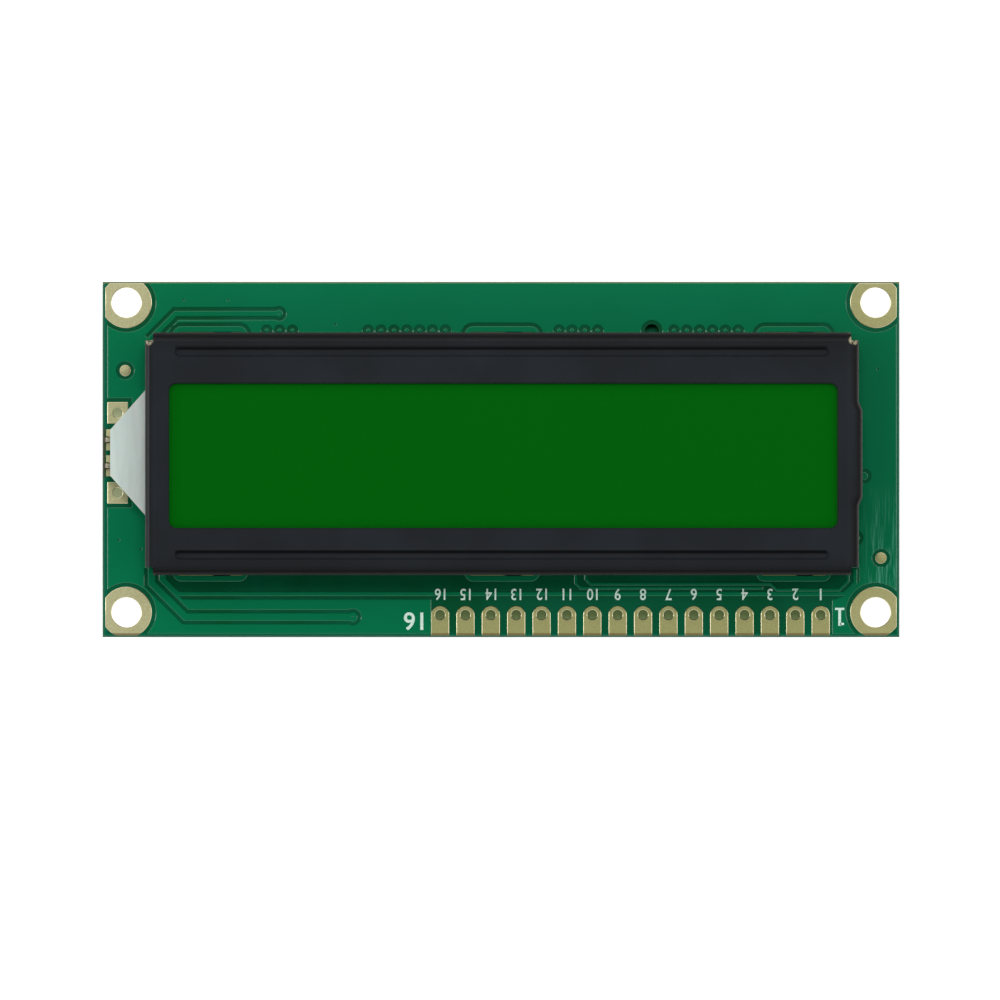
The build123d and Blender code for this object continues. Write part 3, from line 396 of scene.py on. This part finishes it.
def bezel_paint(settings):
    """Black satin stoving paint on folded sheet steel: a fine orange peel, painted shade down the folds,
    along the long edges and at each groove's upper wall, a painted highlight along the left fold, rubbed
    smoother at the two ends, and bare steel where the upper corners were cut."""
    material, tree, shader = new_material("black_satin_stoving_paint", Specular_IOR_Level=0.1,
                                          Coat_Weight=0.02, Coat_Roughness=0.2)
    spot = node(tree, "TexCoord", out="Object")
    x = node(tree, "SeparateXYZ", (spot,))
    cloud = node(tree, "TexNoise", {"Vector": spot, "Scale": 1 / (7 * MM), "Detail": 3.0})
    cloud = node(tree, "MapRange", (cloud, 0.3, 0.7))
    paint = node(tree, "Mix", {0: cloud, 6: linear(settings.paint), 7: linear("1D2126")}, out=2,
                 data_type="RGBA")
    level = node(tree, "SeparateXYZ", (spot.node.outputs["Normal"],), out="Z")
    end = node(tree, "Math", (x,), operation="ABSOLUTE")
    end = node(tree, "MapRange", (end, -BEZEL_LOW.x - 1.1 * MM, -BEZEL_LOW.x - 0.8 * MM))
    middle = (BEZEL_LOW.y + BEZEL_HIGH.y) / 2
    side = node(tree, "Math", (x.node.outputs["Y"], middle), operation="SUBTRACT")
    side = node(tree, "Math", (side,), operation="ABSOLUTE")
    half = BEZEL_HIGH.y - middle - TAB_REACH
    outer = node(tree, "Math", (side, half - 1.0 * MM), operation="GREATER_THAN")
    outer = node(tree, "Math", (end, outer), operation="MAXIMUM")
    # Painted shade: darker down the outer folds and over the strip inside the long edges
    fold_shade = node(tree, "MapRange", (level, 0.86, 0.995, 0.97, 0.0))
    fold_shade = node(tree, "Math", (fold_shade, outer), operation="MULTIPLY")
    rim = node(tree, "MapRange", (side, half - 2.2 * MM, half - 0.2 * MM, 0.0, 0.5))
    fold_shade = node(tree, "Math", (fold_shade, rim), operation="MAXIMUM")
    paint = node(tree, "Mix", {0: fold_shade, 6: paint, 7: linear("060605")}, out=2, data_type="RGBA")

    # A lighter line along the left fold is a painted highlight
    left_fold_highlight = node(tree, "Math", (x, BEZEL_LOW.x + 0.34 * MM, 0.1 * MM), operation="COMPARE")
    left_fold_highlight = node(tree, "Math", (left_fold_highlight, 0.6), operation="MULTIPLY")
    paint = node(tree, "Mix", {0: left_fold_highlight, 6: paint, 7: linear("3E4244")}, out=2, data_type="RGBA")

    # A darker band along each groove's upper wall is painted shade
    groove_shade_marks = [node(tree, "Math", (x.node.outputs["Y"], y, 0.19 * MM), operation="COMPARE")
             for y in (middle + half - 1.52 * MM, middle - half + 2.3 * MM)]
    groove_shade = node(tree, "Math", groove_shade_marks, operation="MAXIMUM")
    reach = node(tree, "Math", (x, 0.0, 32.5 * MM), operation="COMPARE")
    groove_shade = node(tree, "Math", (groove_shade, reach), operation="MULTIPLY")
    groove_shade = node(tree, "Math", (groove_shade, 0.8), operation="MULTIPLY")
    paint = node(tree, "Mix", {0: groove_shade, 6: paint, 7: linear("040405")}, out=2, data_type="RGBA")

    # The cut corners of the upper fold are chipped down to the steel
    chips = node(tree, "TexNoise", {"Vector": spot, "Scale": 1 / (0.25 * MM), "Detail": 3.0})
    chips = node(tree, "MapRange", (chips, 0.42, 0.5))
    corners = [(x_end, middle + half - 0.8 * MM, BEZEL_HIGH.z - 0.15 * MM)
               for x_end in (BEZEL_LOW.x + 0.35 * MM, -BEZEL_LOW.x - 0.35 * MM)]
    away = [node(tree, "VectorMath", (spot, corner), out="Value", operation="DISTANCE") for corner in corners]
    nearest = node(tree, "Math", away, operation="MINIMUM")
    worn = node(tree, "MapRange", (nearest, 0.4 * MM, 0.55 * MM, 1.0, 0.0))
    worn = node(tree, "Math", (worn, chips), operation="MULTIPLY")
    tone = node(tree, "Mix", {0: worn, 6: paint, 7: linear(settings.bare_steel)}, out=2, data_type="RGBA")
    tree.links.new(tone, shader.inputs["Base Color"])
    tree.links.new(worn, shader.inputs["Metallic"])

    rough = node(tree, "MapRange", (end, 0.0, 1.0, 0.6, 0.4))
    tree.links.new(rough, shader.inputs["Roughness"])
    peel = node(tree, "TexNoise", {"Vector": spot, "Scale": 1 / (0.35 * MM)})
    relief = node(tree, "Bump", {"Height": peel, "Distance": 0.003 * MM, "Strength": 1.0})
    tree.links.new(relief, shader.inputs["Normal"])
    return material


def polarising_film(settings):
    """Stretched green polarising film, with the back light's even glow painted into its colour: a deep,
    even colour under a smooth surface."""
    material, tree, shader = new_material("green_polarising_film", Roughness=0.08, IOR=1.49)
    spot = node(tree, "TexCoord", out="Object")
    cloud = node(tree, "TexNoise", {"Vector": spot, "Scale": 1 / (20 * MM)})
    tone = node(tree, "Mix", {0: cloud, 6: linear(settings.window), 7: linear("035B0B")}, out=2,
                data_type="RGBA")
    tree.links.new(tone, shader.inputs["Base Color"])
    return material


def milky_acrylic(settings):
    """Injection moulded acrylic with a white filler: pale, slightly see-through, with painted light
    making its thin nose brighter, and faint flow lines from the gate."""
    material, tree, shader = new_material("milky_moulded_acrylic", Roughness=0.3, IOR=1.49,
                                          Subsurface_Weight=0.25, Subsurface_Scale=1.0 * MM)
    spot = node(tree, "TexCoord", out="Object")
    x = node(tree, "SeparateXYZ", (spot,))
    nose_light = node(tree, "MapRange", (x, TAIL_LOW.x, TAIL_LOW.x + 3.6 * MM, 1.0, 0.0))
    tone = node(tree, "Mix", {0: nose_light, 6: linear("C6CFCA"), 7: linear(settings.acrylic)}, out=2,
                data_type="RGBA")
    place = node(tree, "Mapping", {"Vector": spot, "Scale": (2000, 240, 2000)})
    flow = node(tree, "TexNoise", {"Vector": place, "Scale": 1.0})
    flow = node(tree, "MapRange", (flow, 0.3, 0.7))
    faint = node(tree, "Math", (flow, 0.3), operation="MULTIPLY")
    tone = node(tree, "Mix", {0: faint, 6: tone, 7: linear("AEB8B4")}, out=2, data_type="RGBA")
    tree.links.new(tone, shader.inputs["Base Color"])
    relief = node(tree, "Bump", {"Height": flow, "Distance": 0.004 * MM, "Strength": 1.0})
    tree.links.new(relief, shader.inputs["Normal"])
    return material


def fluxed_solder(joint_feet):
    """Hand-soldered tin and lead: a dull bright top, and brown flux burnt on round the foot."""
    material, tree, shader = new_material("tin_lead_solder", Metallic=1.0, Roughness=0.42)
    spot = node(tree, "TexCoord", out="Object")
    away = [node(tree, "VectorMath", (spot, foot), out="Value", operation="DISTANCE") for foot in joint_feet]
    nearest = node(tree, "Math", away, operation="MINIMUM")
    flux = node(tree, "MapRange", (nearest, 0.2 * MM, 0.32 * MM))
    grain = node(tree, "TexNoise", {"Vector": spot, "Scale": 1 / (0.14 * MM), "Detail": 3.0})
    grain = node(tree, "MapRange", (grain, 0.35, 0.65))
    metal = node(tree, "Mix", {0: grain, 6: linear("6A6758"), 7: linear("B8B6A6")}, out=2, data_type="RGBA")
    tone = node(tree, "Mix", {0: flux, 6: metal, 7: linear("2E2616")}, out=2, data_type="RGBA")
    tree.links.new(tone, shader.inputs["Base Color"])
    relief = node(tree, "Bump", {"Height": grain, "Distance": 0.012 * MM, "Strength": 1.0})
    tree.links.new(relief, shader.inputs["Normal"])
    return material


def grained(name, colour, second, spacing, roughness, relief_height, **values):
    """A plain moulded, cast or fired material: two close colours in a grain, with a low relief."""
    material, tree, shader = new_material(name, Roughness=roughness, **values)
    spot = node(tree, "TexCoord", out="Object")
    grain = node(tree, "TexNoise", {"Vector": spot, "Scale": 1 / spacing, "Detail": 3.0})
    share = node(tree, "MapRange", (grain, 0.3, 0.7))
    tone = node(tree, "Mix", {0: share, 6: linear(colour), 7: linear(second)}, out=2, data_type="RGBA")
    tree.links.new(tone, shader.inputs["Base Color"])
    relief = node(tree, "Bump", {"Height": grain, "Distance": relief_height, "Strength": 1.0})
    tree.links.new(relief, shader.inputs["Normal"])
    return material


# Operators, one for each group of pieces

class DISPLAY_OT_stage(bpy.types.Operator):
    """Floor, light tent, lamps and camera"""
    bl_idname = "display.stage"
    bl_label = "Stage"

    def execute(self, context):
        settings = context.scene.display_stage
        context.scene.view_settings.view_transform = "Standard"
        self.floor(settings)
        self.tent(context.scene, settings)
        self.lamps(context.scene, settings)
        self.camera(context.scene, settings)
        return {"FINISHED"}

    def floor(self, settings):
        """White paper under the module, and behind the board dark cards of painted shade that its small holes
        show.
        """
        self.sheet("floor", (0, 0, FLOOR), (settings.floor_size, settings.floor_size),
                   self.paper("white_paper", "E6E6E6"))
        close = BOARD_LOW.z - SHADE_CARD_GAP
        self.sheet("painted_shade_card", (0, 0, close), (68 * MM, 34.4 * MM), self.paper("olive_painted_shade_card", "485634"))
        self.sheet("painted_shade_card_by_lamp", (-36.7 * MM, 0, close), (5.4 * MM, 22 * MM),
                   self.paper("grey_painted_shade_card", "808769"))

    def sheet(self, name, centre, size, material):
        """One flat sheet of paper."""
        bpy.ops.object.select_all(action="DESELECT")
        bpy.ops.mesh.primitive_plane_add(size=1.0, location=centre)
        sheet = bpy.context.object
        sheet.name = name
        sheet.scale = (*size, 1)
        apply_place(sheet)
        bpy.ops.object.mode_set(mode="EDIT")
        bpy.ops.mesh.subdivide(number_cuts=3)
        bpy.ops.object.mode_set(mode="OBJECT")
        sheet.data.materials.append(material)

    def paper(self, name, colour):
        """Matte uncoated paper that shows its own colour to the camera, mirrors and glass."""
        material, tree, shader = new_material(name, Roughness=0.9, Specular_IOR_Level=0.0)
        spot = node(tree, "TexCoord", out="Object")
        fibre = node(tree, "TexNoise", {"Vector": spot, "Scale": 1 / (1.5 * MM), "Detail": 3.0})
        fibre = node(tree, "Math", (fibre, 0.1), operation="MULTIPLY")
        tone = node(tree, "Mix", {0: fibre, 6: linear(colour), 7: linear("FFFFFF")}, out=2, data_type="RGBA")
        tree.links.new(tone, shader.inputs["Base Color"])
        camera = node(tree, "LightPath", out="Is Camera Ray")
        seen = node(tree, "Math", (camera, camera.node.outputs["Is Glossy Ray"]), operation="MAXIMUM")
        seen = node(tree, "Math", (seen, camera.node.outputs["Is Transmission Ray"]), operation="MAXIMUM")
        shader.inputs["Emission Color"].default_value = linear(colour)
        tree.links.new(seen, shader.inputs["Emission Strength"])
        return material

    def tent(self, scene, settings):
        """Light tent round the module, dim at the table and in front, and open and dark straight above,
        where the camera looks in."""
        scene.world = bpy.data.worlds.new("light_tent")
        scene.world.use_nodes = True
        tree = scene.world.node_tree
        up = node(tree, "SeparateXYZ", (node(tree, "TexCoord", out="Generated"),), out="Z")
        light = node(tree, "MapRange", (up, 0.84, 0.95, settings.tent, 0.0))
        wall = node(tree, "MapRange", (up, 0.1, 0.35, 0.15, 1.0))
        light = node(tree, "Math", (light, wall), operation="MULTIPLY")
        back = node(tree, "MapRange", (up.node.outputs["Y"], -0.8, 0.2, 0.8, 1.0))
        light = node(tree, "Math", (light, back), operation="MULTIPLY")
        camera = node(tree, "LightPath", out="Is Camera Ray")
        strength = node(tree, "Mix", {0: camera, 2: light, 3: 1.0})
        background = tree.nodes["Background"]
        background.inputs["Color"].default_value = (1, 1, 1, 1)
        tree.links.new(strength, background.inputs["Strength"])

    def lamps(self, scene, settings):
        """A high key light just beyond the upper edge, a low light on the left and weak ones besides."""
        lamps = [
            ("key_light", (0.02, 0.27, 0.9), 0.26, settings.key_power),
            ("left_light", (-0.7, 0.07, 0.27), 0.2, settings.side_power),
            ("right_light", (0.7, 0.07, 0.27), 0.2, settings.side_power * 0.5),
            ("left_glint", (-0.42, 0.12, 0.8), 0.1, settings.side_power * 0.5),
            ("right_glint", (0.42, 0.12, 0.8), 0.1, settings.side_power * 0.5),
        ]
        for name, spot, size, power in lamps:
            lamp = bpy.data.lights.new(name, "AREA")
            lamp.shape = "DISK"
            lamp.size = size
            lamp.energy = power
            holder = bpy.data.objects.new(name, lamp)
            scene.collection.objects.link(holder)
            holder.location = spot
            holder.rotation_euler = Vector(spot).to_track_quat("Z", "Y").to_euler()

    def camera(self, scene, settings):
        """Camera straight above the module, with a long lens."""
        view = bpy.data.cameras.new("camera")
        view.sensor_width = 36.0
        view.lens = view.sensor_width * settings.camera_height / settings.field
        view.clip_start = 0.05
        view.clip_end = 20.0
        holder = bpy.data.objects.new("camera", view)
        scene.collection.objects.link(holder)
        holder.location = (settings.centre_x, settings.centre_y, FRONT + settings.camera_height)
        scene.camera = holder


class DISPLAY_OT_board(bpy.types.Operator):
    """Board, copper with the mask sloping off its edges, and etched pads"""
    bl_idname = "display.board"
    bl_label = "Circuit board"

    def execute(self, context):
        settings = context.scene.display_board
        finish_node("circuit_board", mask_over_laminate(settings))
        copper = mask_over_copper(settings)
        for name, foot in (("front_copper", FRONT + MASK_FOOT), ("back_copper", BOARD_LOW.z - MASK_FOOT)):
            piece = masked_copy(name, "masked_" + name, foot, settings.mask_slope)
            finish_piece(piece, copper, "masked_copper", name)
        gold = immersion_gold("immersion_gold", settings.gold, settings.right_gold)
        handled = immersion_gold("immersion_gold_handled", settings.dull_gold, settings.dull_gold)
        for name in ("mounting_pads", "header_pads", "spare_back_light_pads", "lamp_pads", "alignment_marks"):
            low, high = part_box(name)
            piece = etched_copy(name, "gold_" + name, [low.z, high.z], settings.pad_slope)
            finish_piece(piece, handled if name == "header_pads" else gold, "gold", name)
        for name in ("component_lands", "upper_contacts", "lower_contacts"):
            finish_node(name, gold)
        return {"FINISHED"}


class DISPLAY_OT_numbers(bpy.types.Operator):
    """Plain pin numbers, printed over the header row and at its ends"""
    bl_idname = "display.numbers"
    bl_label = "Pin numbers"

    pin_count: IntProperty(name="Pins", description="Number of pins in the header row", default=16)

    def execute(self, context):
        settings = context.scene.display_board
        pad_width = 1.8 * MM
        first = HEADER_HIGH.x - pad_width / 2
        pitch = (HEADER_HIGH.x - HEADER_LOW.x - pad_width) / (self.pin_count - 1)
        row_y = HEADER_HIGH.y + 1.14 * MM
        signs = [(str(pin + 1), first - pin * pitch, row_y, settings.number_height, 0.85)
                 for pin in range(self.pin_count)]
        end = settings.end_height
        signs.append((str(self.pin_count), HEADER_LOW.x - 1.75 * MM, HEADER_HIGH.y - 1.55 * MM, end, 1.0))

        # The font's 1 is a bare stem, so the end number 1 gets a foot and a flag
        x = HEADER_HIGH.x + 1.0 * MM
        y = HEADER_HIGH.y - 1.1 * MM
        bar = 0.12 * end
        signs.append(("1", x, y - bar / 2, end - bar, 1.0))
        signs.append(("-", x, y + (end - bar) / 2, bar, 1.9))
        signs.append(("-", x + 0.13 * end, y - 0.4 * end, bar, 0.8))
        pieces = [self.sign(*sign, settings.ink_thickness) for sign in signs]
        finish_piece(joined(pieces, "pin_numbers"), printing_ink(settings), "board_mask")
        return {"FINISHED"}

    def sign(self, text, x, y, height, squeeze, thickness):
        """One number of the given height, upside down to the picture, with its foot in the board."""
        bpy.ops.object.select_all(action="DESELECT")
        bpy.ops.object.text_add(location=(0, 0, 0))
        piece = bpy.context.object
        piece.data.body = text
        piece.data.resolution_u = 6
        piece.data.offset = 0.012
        piece.data.extrude = 0.5
        bpy.ops.object.convert(target="MESH")
        piece = bpy.context.object
        corners = [Vector(c) for c in piece.bound_box]
        low = Vector(min(c[i] for c in corners) for i in range(3))
        high = Vector(max(c[i] for c in corners) for i in range(3))
        grow = height / (high.y - low.y)
        top = POUR_TOP + thickness
        piece.data.transform(Matrix.Translation(-(low + high) / 2))
        piece.data.transform(Matrix.Diagonal((grow * squeeze, grow, (top - FRONT) / (high.z - low.z), 1)))
        piece.data.transform(Matrix.Rotation(pi, 4, "Z"))
        piece.data.transform(Matrix.Translation((x, y, (top + FRONT) / 2)))
        only(piece)
        bpy.ops.object.mode_set(mode="EDIT")
        bpy.ops.mesh.select_all(action="SELECT")
        bpy.ops.mesh.remove_doubles(threshold=1e-6)
        bpy.ops.mesh.normals_make_consistent(inside=False)
        bpy.ops.object.mode_set(mode="OBJECT")
        return piece


class DISPLAY_OT_bezel(bpy.types.Operator):
    """Painted steel bezel"""
    bl_idname = "display.bezel"
    bl_label = "Bezel"

    def execute(self, context):
        finish_node("bezel", bezel_paint(context.scene.display_bezel))
        return {"FINISHED"}


class DISPLAY_OT_cell(bpy.types.Operator):
    """Glass cell, its films, and the rubber strips that connect it"""
    bl_idname = "display.cell"
    bl_label = "Glass cell"

    def execute(self, context):
        film = polarising_film(context.scene.display_cell)
        finish_node("front_polariser", film)
        finish_node("rear_polariser", film)
        glass = grained("float_glass", "C4D8CE", "CBDDD5", 12 * MM, 0.05, 0.0005 * MM, IOR=1.52,
                        Transmission_Weight=0.9)
        finish_node("front_glass", glass)
        finish_node("rear_glass", glass)
        finish_node("cell_seal",
                    grained("printed_epoxy_seal", "B9BAB0", "C8C8BE", 0.2 * MM, 0.6, 0.002 * MM))
        finish_node("fill_port_plug",
                    grained("cured_port_glue", "D8CFA4", "E0D8B2", 0.8 * MM, 0.25, 0.002 * MM))
        rubber = grained("layered_silicone_rubber", "C9A4A2", "D4B3B0", 0.1 * MM, 0.7, 0.004 * MM)
        finish_node("upper_connector_strip", rubber)
        finish_node("lower_connector_strip", rubber)
        return {"FINISHED"}


class DISPLAY_OT_back_light(bpy.types.Operator):
    """Light guide, films, lamp and the solder joints of its leads"""
    bl_idname = "display.back_light"
    bl_label = "Back light"

    def execute(self, context):
        finish_node("light_guide", milky_acrylic(context.scene.display_cell))
        film = grained("white_polyester_film", "E4E4E2", "ECECEA", 0.5 * MM, 0.5, 0.001 * MM)
        finish_node("reflector_film", film)
        finish_node("diffuser_film", film)
        finish_node("back_light_lamp",
                    grained("clear_lamp_resin", "D9DA9A", "E2E2AE", 0.6 * MM, 0.15, 0.001 * MM))
        finish_node("lamp_leads", grained("tinned_copper", "77735F", "A8A48C", 0.2 * MM, 0.4, 0.004 * MM,
                                          Metallic=1.0))
        low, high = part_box("lamp_solder")
        x = LEAD_LOW.x + 0.125 * MM
        feet = [Vector((x, y, PAD_HIGH.z)) for y in (low.y + 0.32 * MM, high.y - 0.32 * MM)]
        joint = self.joint(TAIL_LOW.x - 0.03 * MM - x)
        pieces = [bpy.data.objects.new("solder_joint", joint.data.copy()) for foot in feet]
        bpy.data.objects.remove(joint)
        for piece, foot in zip(pieces, feet):
            context.scene.collection.objects.link(piece)
            piece.location = foot
            apply_place(piece)
        solder = joined(pieces, "solder_joints")
        finish_piece(solder, fluxed_solder(feet), "solder", "lamp_solder")
        return {"FINISHED"}

    def joint(self, reach):
        """One solder joint with the concave skirt that wetting gives, cut off before the light guide."""
        bpy.ops.object.select_all(action="DESELECT")
        bpy.ops.mesh.primitive_circle_add(vertices=24, radius=0.36, fill_type="NGON", location=(0, 0, 0))
        joint = bpy.context.object
        bpy.ops.object.mode_set(mode="EDIT")
        radius = 0.36
        for rise, next_radius in ((0.05, 0.34), (0.08, 0.25), (0.13, 0.19), (0.16, 0.15), (0.06, 0.06)):
            bpy.ops.mesh.extrude_region_move(TRANSFORM_OT_translate={"value": (0, 0, rise)})
            share = next_radius / radius
            bpy.ops.transform.resize(value=(share, share, 1), center_override=(0, 0, 0))
            radius = next_radius
        bpy.ops.mesh.select_all(action="SELECT")
        bpy.ops.mesh.bisect(plane_co=(reach / MM, 0, 0), plane_no=(1, 0, 0), clear_outer=True, use_fill=True)
        bpy.ops.mesh.select_all(action="SELECT")
        bpy.ops.mesh.normals_make_consistent(inside=False)
        bpy.ops.object.mode_set(mode="OBJECT")
        joint.data.transform(Matrix.Scale(MM, 4))
        bpy.ops.object.shade_smooth_by_angle(angle=radians(50))
        return joint


class DISPLAY_OT_chips(bpy.types.Operator):
    """Epoxy drops over the two chips, and the chip resistors and capacitors on the back"""
    bl_idname = "display.chips"
    bl_label = "Chips"

    def execute(self, context):
        epoxy = grained("black_potting_epoxy", "0E0F10", "151617", 1.2 * MM, 0.38, 0.02 * MM)
        finish_node("controller_drop", epoxy)
        finish_node("driver_drop", epoxy)
        silicon = grained("bare_silicon", "45464C", "54555C", 0.4 * MM, 0.2, 0.0005 * MM)
        finish_node("controller_die", silicon)
        finish_node("driver_die", silicon)
        finish_node("resistor_bodies",
                    grained("glazed_alumina", "16171B", "1E2024", 0.3 * MM, 0.35, 0.002 * MM))
        finish_node("capacitor_bodies",
                    grained("fired_ceramic", "8D6F50", "9B7C5B", 0.2 * MM, 0.55, 0.004 * MM))
        tin = grained("matte_tin_plating", "B4B4AE", "C6C6C0", 0.12 * MM, 0.4, 0.003 * MM, Metallic=1.0)
        finish_node("resistor_caps", tin)
        finish_node("capacitor_caps", tin)
        finish_node("component_solder",
                    grained("reflowed_solder", "ABAAA2", "C3C2BA", 0.2 * MM, 0.3, 0.006 * MM, Metallic=1.0))
        return {"FINISHED"}


class DISPLAY_PT_panel(bpy.types.Panel):
    """Lists the module's operators"""
    bl_idname = "DISPLAY_PT_panel"
    bl_label = "Display module"
    bl_space_type = "VIEW_3D"
    bl_region_type = "UI"
    bl_category = "Display"

    def draw(self, context):
        for name in STEPS:
            self.layout.operator("display." + name)


STEPS = ("stage", "board", "numbers", "bezel", "cell", "back_light", "chips")
CLASSES = (BoardSettings, BezelSettings, DisplaySettings, StageSettings, DISPLAY_OT_stage, DISPLAY_OT_board,
           DISPLAY_OT_numbers, DISPLAY_OT_bezel, DISPLAY_OT_cell, DISPLAY_OT_back_light, DISPLAY_OT_chips,
           DISPLAY_PT_panel)


def register():
    for item in CLASSES:
        bpy.utils.register_class(item)
    bpy.types.Scene.display_board = PointerProperty(type=BoardSettings)
    bpy.types.Scene.display_bezel = PointerProperty(type=BezelSettings)
    bpy.types.Scene.display_cell = PointerProperty(type=DisplaySettings)
    bpy.types.Scene.display_stage = PointerProperty(type=StageSettings)


def unregister():
    del bpy.types.Scene.display_stage
    del bpy.types.Scene.display_cell
    del bpy.types.Scene.display_bezel
    del bpy.types.Scene.display_board
    for item in reversed(CLASSES):
        bpy.utils.unregister_class(item)


def main():
    """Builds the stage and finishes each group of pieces."""
    register()
    for name in STEPS:
        getattr(bpy.ops.display, name)()


if __name__ == "__main__":
    main()
